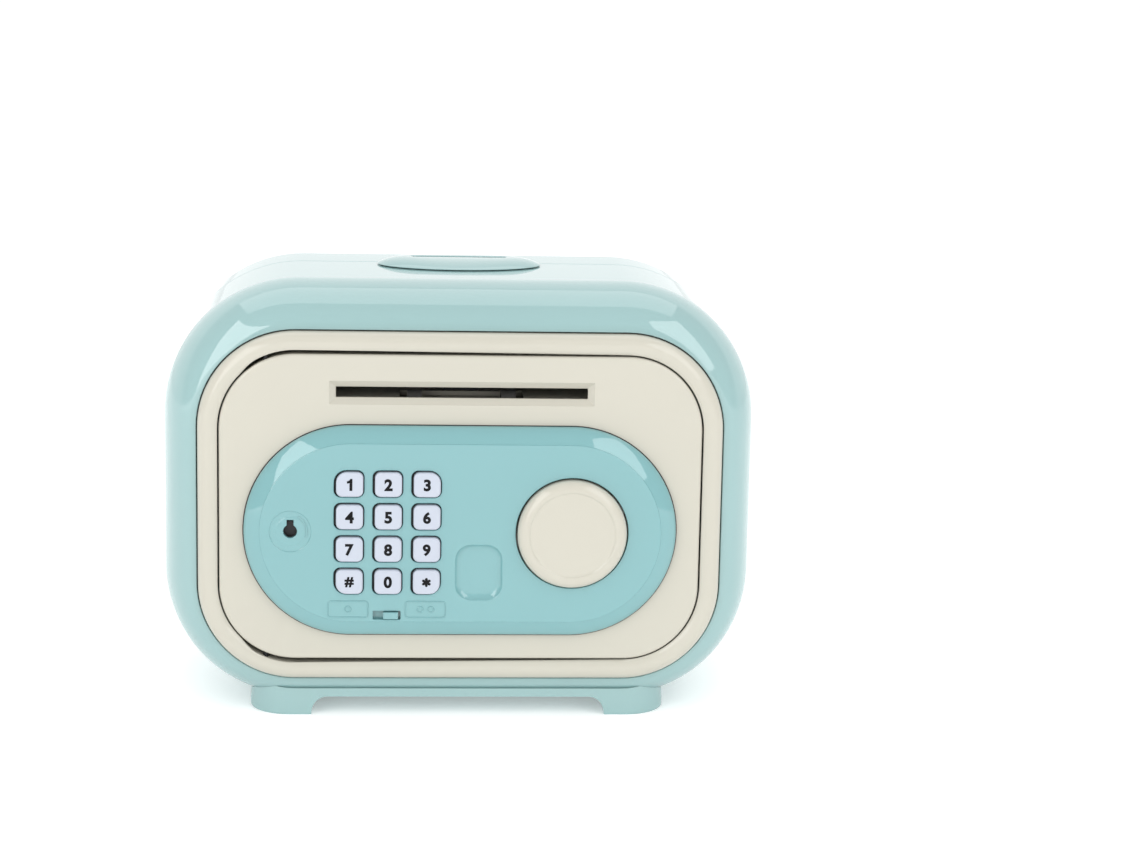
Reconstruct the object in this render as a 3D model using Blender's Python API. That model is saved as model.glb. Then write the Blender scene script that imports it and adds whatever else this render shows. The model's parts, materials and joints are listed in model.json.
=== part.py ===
"""Toy cash-machine savings bank, as an assembly that comes apart on a bench.

The housing is a front and a rear shell on an arched stand, with a cream frame round the front and a coin
plate on top. A door hinged at the left of the frame carries the keypad, the latch knob, the key lock, the
note feeder and the batteries, under a cover that closes it off from the money compartment.

Lengths are in millimetres, turned into metres as each mesh is made. They are measured from the centre of
the front frame: x to the right, y into the object from the frame's front plane, z up.
"""

import math

import bmesh
import bpy
from mathutils import Matrix, Vector

MM = 0.001
GAP = 0.3

# Housing
SHELL_HALF_WIDTH = 102.0
SEAM_HALF_WIDTH = 102.8
SHELL_TOP = 75.0
SHELL_BOTTOM = -71.3
SHELL_RADIUS = 46.5
SHELL_WALL = 2.2
MOUTH_HALF_WIDTH = 89.7
MOUTH_HALF_HEIGHT = 60.7
MOUTH_RADIUS = 33.7
MOUTH_Y = 0.5
NOSE_DEPTH = 25.0
SEAM_Y = 72.0
REAR_Y = 112.0
REAR_RADIUS = 16.0
TONGUE_Y = 69.6

# Front frame
FRAME_HALF_WIDTH = 89.0
FRAME_HALF_HEIGHT = 60.0
FRAME_RADIUS = 33.0
FRAME_BACK = 9.5

# Stand
STAND_HALF_WIDTH = 72.0
STAND_FRONT = 0.9
STAND_BACK = 111.2
STAND_RADIUS = 13.5
STAND_DRAFT = 1.3
FLOOR_Z = -73.6
ARCH_HALF_WIDTH = 50.5
ARCH_Z = -67.2

# Coin plate
COIN_Y = 65.5
COIN_HALF_LENGTH = 29.3
COIN_HALF_DEPTH = 18.7
COIN_SLOT = (34.0, 3.5)
COIN_COLLAR = (38.0, 6.5)

# Door
DOOR_HALF_WIDTH = 81.7
DOOR_HALF_HEIGHT = 52.6
DOOR_RADIUS = 25.6
DOOR_FACE = -2.8
DOOR_SKIN = 2.2
DOOR_RIM_BACK = 7.5
HINGE_X = -66.0
HINGE_Y = -1.0
HINGE_PIN_RADIUS = 0.95
HINGE_PIN_Z = (44.6, 54.6)
NOTE_SLOT_HALF_WIDTH = 42.5
NOTE_SLOT_BOTTOM = 37.8
NOTE_SLOT_TOP = 41.4

# Control panel
PANEL_HALF_WIDTH = 73.3
PANEL_CENTRE_Z = -7.4
PANEL_HALF_HEIGHT = 36.1
PANEL_BEVEL = 5.5
PANEL_FACE = -8.8
PANEL_SKIN = 2.0
PANEL_FOOT = DOOR_FACE - GAP

# Keypad and language switch
KEY_NAMES = (("1", "2", "3"), ("4", "5", "6"), ("7", "8", "9"), ("hash", "0", "star"))
KEY_CENTRE_X = -24.8
KEY_TOP_ROW_Z = 9.6
KEY_PITCH_X = 13.0
KEY_PITCH_Z = 11.17
KEY_SIZE = (9.1, 8.4)
KEY_HOLE = (10.4, 9.5)
KEY_MAT_CENTRE_Z = -7.2
KEY_RADIUS = 2.2
KEY_RISE = 1.3
SWITCH_CENTRE = (-24.9, -35.8)
SWITCH_SLOT = (9.3, 3.0)
SLIDER_SIZE = (5.1, 2.4)
SLIDER_X = -23.55
FINGER_DENT = (6.1, -20.8, 16.0, 19.3)

# Knob and latch
KNOB_CENTRE = (37.55, -7.1)
KNOB_HOLE_RADIUS = 19.1
KNOB_RADIUS = 18.55
KNOB_DISC_RADIUS = 14.6
KNOB_FACE = -12.3
CRANK_RADIUS = 7.0
CRANK_START = -30.0
LATCH_TRAVEL = 2 * CRANK_RADIUS * math.sin(math.radians(-CRANK_START))
CRANK_DISC_Y = (6.2, 8.4)
LATCH_Y = (10.0, 12.6)
LATCH_Z = (-4.5, 3.5)
LATCH_X = (30.0, 81.0)

# Key lock
LOCK_CENTRE = (-57.5, -6.9)
KEYHOLE_RADIUS = 2.3
KEYHOLE_NOTCH = (2.4, 3.9)

# Note feeder
FEED_Y = 11.0
DRIVE_Z = 33.6
DRIVE_ROLLER_RADIUS = 5.0
PINCH_ROLLER_RADIUS = 4.5
PINCH_Z = DRIVE_Z + DRIVE_ROLLER_RADIUS + PINCH_ROLLER_RADIUS + 0.4
ROLLER_X = 16.0
SHAFT_RADIUS = 1.2
GEAR_MODULE = 0.7
GEAR_TEETH = 24
PINION_TEETH = 12
GEAR_X = (50.5, 54.5)
MOTOR_Z = DRIVE_Z - GEAR_MODULE * (GEAR_TEETH + PINION_TEETH) / 2 - 0.2

# Door cover and batteries
COVER_LEFT = -70.0
COVER_RIGHT = 74.0
COVER_BOTTOM = -48.0
COVER_TOP = 49.9
COVER_BACK = 24.0
COVER_WALL = 1.6
COVER_RADIUS = 22.0
COVER_POSTS = ((-60.0, 36.0), (64.0, 36.0), (64.0, -36.0), (-60.0, -34.0))
BATTERY_RADIUS = 7.25
BATTERY_LENGTH = 50.5
BATTERY_Y = 13.5
BATTERY_Z = (-7.5, -22.4, -37.3)
BATTERY_LEFT = -36.0
TRAY_X = (-41.0, 20.0)
TRAY_Z = (-46.0, 1.2)

# Shell screws, through posts in both shells
SHELL_POSTS = ((76.0, 46.0), (-76.0, 46.0), (-76.0, -42.0), (76.0, -42.0))

# The assembly's origin is on the floor under the middle of the whole object.
FACE_CENTRE = (0.0, -(KNOB_FACE + REAR_Y) / 2, -FLOOR_Z)

CORNER_STEPS = 6
ROUND_STEPS = 24
SMALL_STEPS = 12


# ---------------------------------------------------------------- outlines and solids


def on_axis(axis, across, up, along):
    """The point that lies `along` an axis, with its two other coordinates in order."""
    return {"X": (along, across, up), "Y": (across, along, up), "Z": (across, up, along)}[axis]


def rounded_rectangle(half_width, top, bottom, radius, steps=CORNER_STEPS, centre=0.0):
    points = []
    for side, up, start in ((1, 1, 0), (-1, 1, 90), (-1, -1, 180), (1, -1, 270)):
        middle = centre + side * (half_width - radius)
        middle_up = top - radius if up > 0 else bottom + radius
        for step in range(steps + 1):
            angle = math.radians(start + 90 * step / steps)
            points.append((middle + radius * math.cos(angle), middle_up + radius * math.sin(angle)))
    return points


def centred_rectangle(centre, size, radius, steps=3):
    half_width, half_height = size[0] / 2, size[1] / 2
    return rounded_rectangle(
        half_width, centre[1] + half_height, centre[1] - half_height, radius, steps, centre[0]
    )


def circle(centre, radius, steps=ROUND_STEPS):
    angles = [2 * math.pi * step / steps for step in range(steps)]
    return [(centre[0] + radius * math.cos(a), centre[1] + radius * math.sin(a)) for a in angles]


def loft(rings, closed=False):
    """A solid through rings of points. A closed one joins its last ring to its first, as a frame does."""
    bm = bmesh.new()
    loops = [[bm.verts.new(point) for point in ring] for ring in rings]
    pairs = list(zip(loops, loops[1:]))
    if closed:
        pairs.append((loops[-1], loops[0]))
    else:
        bm.faces.new(loops[0])
        bm.faces.new(loops[-1])
    for first, second in pairs:
        for index in range(len(first)):
            after = (index + 1) % len(first)
            bm.faces.new((first[index], first[after], second[after], second[index]))
    bmesh.ops.recalc_face_normals(bm, faces=bm.faces)
    return bm


def prism(outline, start, end, axis="Y"):
    return loft([[on_axis(axis, a, b, along) for a, b in outline] for along in (start, end)])


def box(x_range, y_range, z_range):
    corners = [(x_range[i], z_range[j]) for i, j in ((0, 0), (1, 0), (1, 1), (0, 1))]
    return prism(corners, y_range[0], y_range[1])


def turned(profile, centre, axis="Y", steps=ROUND_STEPS):
    """A turned solid from (radius, position along the axis) pairs."""
    return loft([[on_axis(axis, a, b, along) for a, b in circle(centre, r, steps)] for r, along in profile])


def rod(radius, start, end, centre, axis="Y", steps=SMALL_STEPS):
    return turned([(radius, start), (radius, end)], centre, axis, steps)


def merged(solids):
    whole = bmesh.new()
    for solid in solids:
        mesh = bpy.data.meshes.new("merge")
        solid.to_mesh(mesh)
        solid.free()
        whole.from_mesh(mesh)
        bpy.data.meshes.remove(mesh)
    return whole


# ---------------------------------------------------------------- objects, joints and materials


class Joint:
    """An empty on a joint's axis, at a point measured from the centre of the front frame."""

    def __init__(self, name, point, parent=None):
        self.point = Vector(point)
        self.empty = bpy.data.objects.new(name, None)
        self.empty.empty_display_size = 5 * MM
        bpy.context.scene.collection.objects.link(self.empty)
        start = parent.point if parent else Vector()
        self.empty.location = (self.point - start) * MM
        if parent:
            self.empty.parent = parent.empty
        else:
            self.empty.location = (Vector(FACE_CENTRE) + self.point) * MM


def make_object(name, solid, joint):
    """Turns a solid into an object whose origin is on its joint's axis."""
    bmesh.ops.remove_doubles(solid, verts=solid.verts, dist=1e-4)
    bmesh.ops.transform(solid, verts=solid.verts, matrix=Matrix.Translation(-joint.point))
    bmesh.ops.transform(solid, verts=solid.verts, matrix=Matrix.Scale(MM, 4))
    mesh = bpy.data.meshes.new(name)
    solid.to_mesh(mesh)
    solid.free()
    mesh.shade_smooth()
    mesh.set_sharp_from_angle(angle=math.radians(32))
    obj = bpy.data.objects.new(name, mesh)
    bpy.context.scene.collection.objects.link(obj)
    obj.parent = joint.empty
    return obj


def part(name, solid, joint, material, add=(), cut=()):
    """One piece of the assembly. Solids in `add` are joined to it, and those in `cut` are taken away."""
    obj = make_object(name, solid, joint)
    obj.data.materials.append(material)
    if add:
        combine(obj, "UNION", add, joint)
    if cut:
        combine(obj, "DIFFERENCE", cut, joint)
    return obj


def combine(obj, operation, solids, joint):
    """Joins solids to a piece, or cuts them from it. Solids that cross each other go in separate calls."""
    helper = make_object(f"{obj.name}_{operation.lower()}", merged(solids), joint)
    helper.hide_render = True
    helper.display_type = "WIRE"
    modifier = obj.modifiers.new(operation.title(), "BOOLEAN")
    modifier.operation = operation
    modifier.solver = "EXACT"
    modifier.object = helper


def plastic(name, colour, roughness=0.3, metallic=0.0):
    material = bpy.data.materials.new(name)
    material.use_nodes = True
    shader = material.node_tree.nodes["Principled BSDF"]
    shader.inputs["Base Color"].default_value = (*colour, 1.0)
    shader.inputs["Roughness"].default_value = roughness
    shader.inputs["Metallic"].default_value = metallic
    material.diffuse_color = (*colour, 1.0)
    return material


def make_materials():
    return {
        "blue": plastic("blue_plastic", (0.42, 0.66, 0.69), 0.3),
        "panel_blue": plastic("panel_blue_plastic", (0.31, 0.61, 0.65), 0.35),
        "cream": plastic("cream_plastic", (0.79, 0.76, 0.66), 0.25),
        "key": plastic("key_plastic", (0.67, 0.70, 0.78), 0.4),
        "grey": plastic("grey_plastic", (0.30, 0.31, 0.32), 0.5),
        "black": plastic("black_plastic", (0.02, 0.02, 0.02), 0.5),
        "rubber": plastic("rubber", (0.12, 0.12, 0.12), 0.8),
        "board": plastic("circuit_board", (0.05, 0.25, 0.10), 0.5),
        "steel": plastic("steel", (0.60, 0.60, 0.60), 0.3, 1.0),
        "battery": plastic("battery_jacket", (0.15, 0.15, 0.16), 0.35),
    }


# ---------------------------------------------------------------- housing


def shell_ring(half_width, top, bottom, radius, y):
    return [(x, y, z) for x, z in rounded_rectangle(half_width, top, bottom, radius)]


def nose_ring(degrees, wall=0.0, grow=0.0):
    """A ring of the shell's rounded nose: 0 degrees is its mouth, 90 its full section."""
    rise = 1 - math.sin(math.radians(degrees))
    run = 1 - math.cos(math.radians(degrees))
    side = SHELL_HALF_WIDTH - MOUTH_HALF_WIDTH - wall
    upper = SHELL_TOP - MOUTH_HALF_HEIGHT - wall
    lower = -SHELL_BOTTOM - MOUTH_HALF_HEIGHT - wall
    corner = SHELL_RADIUS - MOUTH_RADIUS - wall
    return shell_ring(
        SHELL_HALF_WIDTH - wall + grow - side * rise,
        SHELL_TOP - wall + grow - upper * rise,
        SHELL_BOTTOM + wall - grow + lower * rise,
        SHELL_RADIUS - wall + grow - corner * rise,
        MOUTH_Y + wall - grow + (NOSE_DEPTH - wall + grow) * run,
    )


def body_ring(inset, y, half_width=SEAM_HALF_WIDTH):
    """A ring of the shell's full section, drawn in by `inset` all round."""
    return shell_ring(half_width - inset, SHELL_TOP - inset, SHELL_BOTTOM + inset, SHELL_RADIUS - inset, y)


def tail_rings(wall=0.0, grow=0.0):
    """The rings of the rounded back edge, from its start to the flat back."""
    rings = []
    for step in range(5):
        angle = math.radians(90 * step / 4)
        radius = REAR_RADIUS - wall + grow
        inset = wall - grow + radius * (1 - math.cos(angle))
        rings.append(body_ring(inset, REAR_Y - REAR_RADIUS + radius * math.sin(angle)))
    return rings


NOSE_ANGLES = (0, 12, 24, 38, 54, 72, 90)


def make_shells(root, blue):
    outer = [nose_ring(a) for a in NOSE_ANGLES] + [body_ring(0, SEAM_Y - GAP / 2)]
    inner = [nose_ring(a, SHELL_WALL) for a in NOSE_ANGLES] + [body_ring(SHELL_WALL, SEAM_Y - GAP / 2)]
    shell = part("front_shell", loft(outer + inner[::-1], closed=True), root, blue)
    ribs = []
    for x, z in SHELL_POSTS:
        side = math.copysign(1, x)
        ribs.append(box(sorted((x, side * 98)), (50, SEAM_Y - 6), (z - 1, z + 1)))
    combine(shell, "UNION", ribs, root)
    combine(shell, "UNION", [rod(4.5, 48, SEAM_Y - GAP, at) for at in SHELL_POSTS], root)
    collar_hole = rounded_slot(COIN_COLLAR, GAP, SHELL_TOP - 6, SHELL_TOP + 5)
    combine(shell, "DIFFERENCE", [rod(1.6, 56, SEAM_Y + 1, at) for at in SHELL_POSTS] + [collar_hole], root)

    cavity = [
        body_ring(SHELL_WALL + 1.6, TONGUE_Y), body_ring(SHELL_WALL + 1.6, 74.5), body_ring(SHELL_WALL, 79),
    ]
    cavity += tail_rings(SHELL_WALL)
    skin = [body_ring(SHELL_WALL + GAP, TONGUE_Y), body_ring(SHELL_WALL + GAP, SEAM_Y + GAP / 2)]
    skin += [body_ring(0, SEAM_Y + GAP / 2)] + tail_rings()
    posts = [rod(5, 75, REAR_Y - 1, at) for at in SHELL_POSTS]
    holes = [rod(1.8, 74, 90, at) for at in SHELL_POSTS]
    wells = [rod(3.6, 86, REAR_Y + 1, at) for at in SHELL_POSTS]
    shell = part("rear_shell", loft(cavity[::-1] + skin), root, blue, posts, wells)
    combine(shell, "DIFFERENCE", holes, root)


def rounded_slot(size, grow, low, high):
    """A slot with round ends in the top of the bank, at the coin plate's place."""
    half_length, half_depth = size[0] / 2 + grow, size[1] / 2 + grow
    outline = rounded_rectangle(half_length, COIN_Y + half_depth, COIN_Y - half_depth, half_depth - 0.05, 4)
    return prism(outline, low, high, "Z")


def make_frame(root, cream):
    """The cream frame: a round bead in front, a wall beside the door's edge, a flange behind the shell."""
    profile = (
        (0.0, 0.2), (0.5, -1.5), (1.7, -2.9), (3.3, -3.6), (4.9, -3.45), (5.9, -3.0), (6.3, -2.5),
        (6.0, -1.0), (6.0, FRAME_BACK), (3.9, FRAME_BACK), (3.9, 5.6), (-2.5, 5.6), (-2.5, 3.7), (0.0, 3.7),
    )
    rings = []
    for inset, y in profile:
        height = FRAME_HALF_HEIGHT - inset
        rings.append(shell_ring(FRAME_HALF_WIDTH - inset, height, -height, FRAME_RADIUS - inset, y))
    pin_holes = []
    for side in (1, -1):
        span = sorted((side * 50, side * (HINGE_PIN_Z[1] + GAP)))
        pin_holes.append(rod(HINGE_PIN_RADIUS + GAP, *span, (HINGE_X, HINGE_Y), "Z"))
    part("front_frame", loft(rings, closed=True), root, cream, cut=pin_holes)


def make_stand(root, blue):
    """The stand: two runners joined by a thin arch at front and back, cut to the shell's round belly."""
    middle_y = (STAND_FRONT + STAND_BACK) / 2
    half_depth = (STAND_BACK - STAND_FRONT) / 2
    rings = []
    for z, draw in ((FLOOR_Z, 0.8), (FLOOR_Z + 0.8, 0.0), (-50.0, STAND_DRAFT)):
        outline = rounded_rectangle(
            STAND_HALF_WIDTH - draw, middle_y + half_depth - draw * 0.2, middle_y - half_depth + draw * 0.2,
            STAND_RADIUS, 5,
        )
        rings.append([(x, y, z) for x, y in outline])
    belly = loft([nose_ring(a, grow=GAP) for a in NOSE_ANGLES] + tail_rings(grow=GAP))
    lips = []
    for grow, span in ((3.6, (-4, 3)), (-3.0, (REAR_Y - 3, REAR_Y + 4))):
        height = MOUTH_HALF_HEIGHT + grow
        outline = rounded_rectangle(MOUTH_HALF_WIDTH + grow, height, -height, MOUTH_RADIUS + grow)
        lips.append(prism(outline, *span))
    arch = [(-ARCH_HALF_WIDTH, FLOOR_Z - 1), (ARCH_HALF_WIDTH, FLOOR_Z - 1)]
    for side in (1, -1):
        for step in range(5):
            angle = math.radians(22.5 * (step if side > 0 else 4 - step))
            across = ARCH_HALF_WIDTH - 5.4 * (1 - math.cos(angle))
            arch.append((side * across, ARCH_Z - 5.8 * (1 - math.sin(angle))))
    stand = part("base_stand", loft(rings), root, blue, cut=[belly])
    combine(stand, "DIFFERENCE", [prism(arch, -5, REAR_Y + 5)], root)
    combine(stand, "DIFFERENCE", lips, root)


def make_coin_plate(root, blue):
    rings = []
    for scale, height in ((1.0, GAP), (1.0, 1.7), (0.965, 2.3), (0.86, 2.7), (0.6, 3.0)):
        angles = [2 * math.pi * step / 32 for step in range(32)]
        rings.append([
            (
                COIN_HALF_LENGTH * scale * math.cos(a),
                COIN_Y + COIN_HALF_DEPTH * scale * math.sin(a),
                SHELL_TOP + height,
            )
            for a in angles
        ])
    collar = rounded_slot(COIN_COLLAR, 0, SHELL_TOP - 5, SHELL_TOP + 1)
    slot = rounded_slot(COIN_SLOT, 0, SHELL_TOP - 7, SHELL_TOP + 5)
    part("coin_plate", loft(rings), root, blue, [collar], [slot])


def make_housing(root, materials):
    make_shells(root, materials["blue"])
    make_frame(root, materials["cream"])
    make_stand(root, materials["blue"])
    make_coin_plate(root, materials["blue"])
    for name, side in (("upper", 1), ("lower", -1)):
        span = sorted(side * z for z in HINGE_PIN_Z)
        pin = rod(HINGE_PIN_RADIUS, *span, (HINGE_X, HINGE_Y), "Z")
        part(f"hinge_pin_{name}", pin, root, materials["steel"])
    for number, at in enumerate(SHELL_POSTS, 1):
        screw = turned([(1.3, 58), (1.3, 86.3), (3.1, 86.3), (3.1, 88.3)], at, steps=SMALL_STEPS)
        part(f"shell_screw_{number}", screw, root, materials["steel"])


# ---------------------------------------------------------------- door


def door_ring(inset, y):
    height = DOOR_HALF_HEIGHT - inset
    return shell_ring(DOOR_HALF_WIDTH - inset, height, -height, DOOR_RADIUS - inset, y)


def make_door_panel(door, cream):
    skin_back = DOOR_FACE + DOOR_SKIN
    rings = [
        door_ring(2.0, skin_back), door_ring(2.0, DOOR_RIM_BACK), door_ring(0, DOOR_RIM_BACK),
        door_ring(0, DOOR_FACE + 0.9), door_ring(0.3, DOOR_FACE + 0.25), door_ring(0.9, DOOR_FACE),
    ]
    lug_x = (HINGE_X - 2.2, HINGE_X + 2.2)
    lugs = [box(lug_x, (skin_back - 1, 2.6), sorted((side * 44.0, side * 49.0))) for side in (1, -1)]
    posts = [rod(3, skin_back - 1, COVER_BACK - COVER_WALL - GAP, at) for at in COVER_POSTS]
    slot_middle = (NOTE_SLOT_TOP + NOTE_SLOT_BOTTOM) / 2
    slot_height = NOTE_SLOT_TOP - NOTE_SLOT_BOTTOM
    flare = []
    for grow, y in ((2.0, DOOR_FACE - 0.6), (0.0, DOOR_FACE + 1.9), (0.0, skin_back + 1)):
        size = (2 * (NOTE_SLOT_HALF_WIDTH + grow), slot_height + 2 * grow)
        flare.append([(x, y, z) for x, z in centred_rectangle((0, slot_middle), size, 0.4 + grow * 0.4, 2)])
    through = (DOOR_FACE - 1, skin_back + 1)
    cuts = [
        loft(flare),
        rod(3.4, *through, KNOB_CENTRE, steps=16),
        rod(6.3, *through, LOCK_CENTRE, steps=16),
        prism(centred_rectangle((KEY_CENTRE_X, KEY_MAT_CENTRE_Z), (41.6, 48.3), 2), *through),
        prism(centred_rectangle(SWITCH_CENTRE, (13.5, 7.3), 0.5, 1), *through),
    ]
    cuts += [
        rod(HINGE_PIN_RADIUS + GAP, *sorted((side * 43, side * 52)), (HINGE_X, HINGE_Y), "Z")
        for side in (1, -1)
    ]
    cuts += [rod(1.5, 6, COVER_BACK, at) for at in COVER_POSTS]
    part("door_panel", loft(rings), door, cream, lugs + posts, cuts)


def panel_ring(inset, y):
    return shell_ring(
        PANEL_HALF_WIDTH - inset, PANEL_CENTRE_Z + PANEL_HALF_HEIGHT - inset,
        PANEL_CENTRE_Z - PANEL_HALF_HEIGHT + inset, PANEL_HALF_HEIGHT - 0.1 - inset, y,
    )


def keyhole_outline():
    half_notch, notch_top = KEYHOLE_NOTCH[0] / 2, KEYHOLE_NOTCH[1]
    start = math.degrees(math.acos(half_notch / KEYHOLE_RADIUS))
    x, z = LOCK_CENTRE
    points = [(x + half_notch, z + notch_top)]
    for step in range(13):
        angle = math.radians(start - (180 + 2 * start) * step / 12)
        points.append((x + KEYHOLE_RADIUS * math.cos(angle), z + KEYHOLE_RADIUS * math.sin(angle)))
    points.append((x - half_notch, z + notch_top))
    return points


def key_places():
    """Each key's name and the centre of its hole."""
    for row, names in enumerate(KEY_NAMES):
        for column, name in enumerate(names):
            x = KEY_CENTRE_X + (column - 1) * KEY_PITCH_X
            yield name, (x, KEY_TOP_ROW_Z - row * KEY_PITCH_Z)


def make_control_panel(door, blue):
    inner = PANEL_FACE + PANEL_SKIN
    rings = [
        panel_ring(5.9, inner), panel_ring(2.4, PANEL_FOOT - 1.4), panel_ring(2.0, PANEL_FOOT),
        panel_ring(0, PANEL_FOOT), panel_ring(0.4, PANEL_FOOT - 1.0), panel_ring(2.4, PANEL_FACE + 1.8),
        panel_ring(4.2, PANEL_FACE + 0.4), panel_ring(5.6, PANEL_FACE),
    ]
    through = (PANEL_FACE - 1, inner + 1)
    cuts = [prism(centred_rectangle(at, KEY_HOLE, KEY_RADIUS, 2), *through) for _, at in key_places()]
    cuts += [
        rod(KNOB_HOLE_RADIUS, *through, KNOB_CENTRE, steps=ROUND_STEPS),
        prism(keyhole_outline(), *through),
        prism(centred_rectangle(SWITCH_CENTRE, SWITCH_SLOT, 0.3, 1), *through),
        prism(
            centred_rectangle(FINGER_DENT[:2], FINGER_DENT[2:], 5.5, 4), PANEL_FACE - 1, PANEL_FACE + 1.2
        ),
    ]
    part("control_panel", loft(rings), door, blue, cut=cuts)


def make_keypad(door, materials):
    size_x, size_z = KEY_SIZE
    for name, at in key_places():
        joint = Joint(f"key_{name}_slide", (at[0], PANEL_FACE, at[1]), door)
        rings = []
        front = PANEL_FACE - KEY_RISE
        flange = PANEL_FACE + PANEL_SKIN + GAP
        back = flange + 1.0
        for grow, y in ((-0.4, front), (0.0, front + 0.4), (0.0, flange), (1.1, flange), (1.1, back)):
            outline = centred_rectangle(at, (size_x + 2 * grow, size_z + 2 * grow), KEY_RADIUS - 0.3, 2)
            rings.append([(x, y, z) for x, z in outline])
        part(f"key_{name}", loft(rings), joint, materials["key"])
    mat = centred_rectangle((KEY_CENTRE_X, KEY_MAT_CENTRE_Z), (39.6, 46.4), 1.5, 2)
    part("key_mat", prism(mat, -4.2, -3.0), door, materials["rubber"])
    board = centred_rectangle((KEY_CENTRE_X, KEY_MAT_CENTRE_Z), (41.0, 47.6), 1.5, 2)
    part("key_board", prism(board, -2.7, -1.5), door, materials["board"])


def make_switch(door, materials):
    x, z = SWITCH_CENTRE
    body = prism(centred_rectangle((x, z), (12.6, 6.4), 0.3, 1), -5.3, -1.0)
    part("switch_body", body, door, materials["steel"])
    joint = Joint("language_slide", (SLIDER_X, PANEL_FACE, z), door)
    flange = PANEL_FACE + PANEL_SKIN + GAP
    rings = []
    steps = (-0.2, -0.2, -9.7), (0, 0, -9.5), (0, 0, flange), (1.8, 0.5, flange), (1.8, 0.5, -5.7)
    for grow_x, grow_z, y in steps:
        size = (SLIDER_SIZE[0] + 2 * grow_x, SLIDER_SIZE[1] + 2 * grow_z)
        rings.append([(px, y, pz) for px, pz in centred_rectangle((SLIDER_X, z), size, 0.25, 1)])
    part("language_slider", loft(rings), joint, materials["panel_blue"])


def make_knob(door, materials):
    x, z = KNOB_CENTRE
    joint = Joint("knob_hinge", (x, 0, z), door)
    face = KNOB_FACE
    cap = turned(
        (
            (KNOB_DISC_RADIUS - 0.2, face), (KNOB_DISC_RADIUS, face + 0.3),
            (KNOB_DISC_RADIUS + 0.4, face + 0.1), (16.6, face + 0.3), (17.9, face + 1.0),
            (KNOB_RADIUS, face + 2.3), (KNOB_RADIUS, -5.8), (16.8, -5.8), (16.8, face + 2.2),
            (5.5, face + 2.2), (5.5, -4.5), (3.3, -4.5), (3.3, face + 2.6),
        ),
        KNOB_CENTRE, steps=28,
    )
    part("knob_cap", cap, joint, materials["cream"])
    disc_front, disc_back = CRANK_DISC_Y
    profile = (3.0, face + 3.0), (3.0, disc_front), (9.5, disc_front), (9.5, disc_back)
    spindle = turned(profile, KNOB_CENTRE, steps=20)
    start = math.radians(CRANK_START)
    pin_at = (x + CRANK_RADIUS * math.sin(start), z + CRANK_RADIUS * math.cos(start))
    pin = rod(1.25, disc_back - 1, LATCH_Y[1] + 0.4, pin_at)
    part("knob_spindle", spindle, joint, materials["grey"], [pin])

    latch = Joint("latch_slide", (LATCH_X[0], LATCH_Y[0], (LATCH_Z[0] + LATCH_Z[1]) / 2), door)
    lowest_pin = pin_at[1]
    slot_z = (lowest_pin - 1.6, z + CRANK_RADIUS + 1.6)
    slot = box((pin_at[0] - 1.6, pin_at[0] + 1.6), (LATCH_Y[0] - 1, LATCH_Y[1] + 1), slot_z)
    part("latch_bar", box(LATCH_X, LATCH_Y, LATCH_Z), latch, materials["grey"], cut=[slot])
    guide_y = (DOOR_FACE + DOOR_SKIN + GAP, LATCH_Y[1] + 2.4)
    guide = box((60, 66), guide_y, (LATCH_Z[0] - 3, LATCH_Z[1] + 3))
    window = box((59, 67), (LATCH_Y[0] - GAP, LATCH_Y[1] + GAP), (LATCH_Z[0] - GAP, LATCH_Z[1] + GAP))
    part("latch_guide", guide, door, materials["grey"], cut=[window])


def make_lock(door, materials):
    x, z = LOCK_CENTRE
    joint = Joint("lock_hinge", (x, 0, z), door)
    back = PANEL_FACE + PANEL_SKIN + GAP
    profile = (7.2, back), (7.2, back + 1.5), (6.0, back + 1.5), (6.0, 0.6), (3.0, 0.6), (3.0, 4.0)
    rotor = turned(profile, LOCK_CENTRE)
    part("lock_rotor", rotor, joint, materials["black"], cut=[prism(keyhole_outline(), back - 1, -1.0)])
    angles = [math.radians(180 + 15 * step) for step in range(13)]
    arm = [(x + 7 * math.cos(a), z + 7 * math.sin(a)) for a in angles]
    arm += [(x + 2.6, z + 14.5), (x - 2.6, z + 14.5)]
    part("lock_cam", prism(arm, 0.9, 2.9), joint, materials["grey"], cut=[rod(3.3, 0, 4, LOCK_CENTRE)])


# ---------------------------------------------------------------- note feeder


def gear_outline(teeth, centre, turn):
    """An involute gear's outline, with a 25 degree pressure angle, short teeth and a little backlash."""
    pitch = teeth * GEAR_MODULE / 2
    base = pitch * math.cos(math.radians(25))
    root = pitch - 1.05 * GEAR_MODULE
    tip = pitch + 0.8 * GEAR_MODULE

    def involute(radius):
        angle = math.acos(base / max(radius, base))
        return math.tan(angle) - angle

    half_tooth = math.pi / (2 * teeth) - 0.11 / pitch + involute(pitch)
    first = max(root, base)
    flank = [(first + (tip - first) * step / 2) for step in range(3)]
    side = [(root, half_tooth - involute(first))] if base > root else []
    side += [(radius, half_tooth - involute(radius)) for radius in flank]
    points = []
    for tooth in range(teeth):
        middle = 2 * math.pi * tooth / teeth + turn
        for sign, run in ((-1, side), (1, side[::-1])):
            for radius, half in run:
                angle = middle + sign * half
                points.append((centre[0] + radius * math.cos(angle), centre[1] + radius * math.sin(angle)))
    return points


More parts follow.
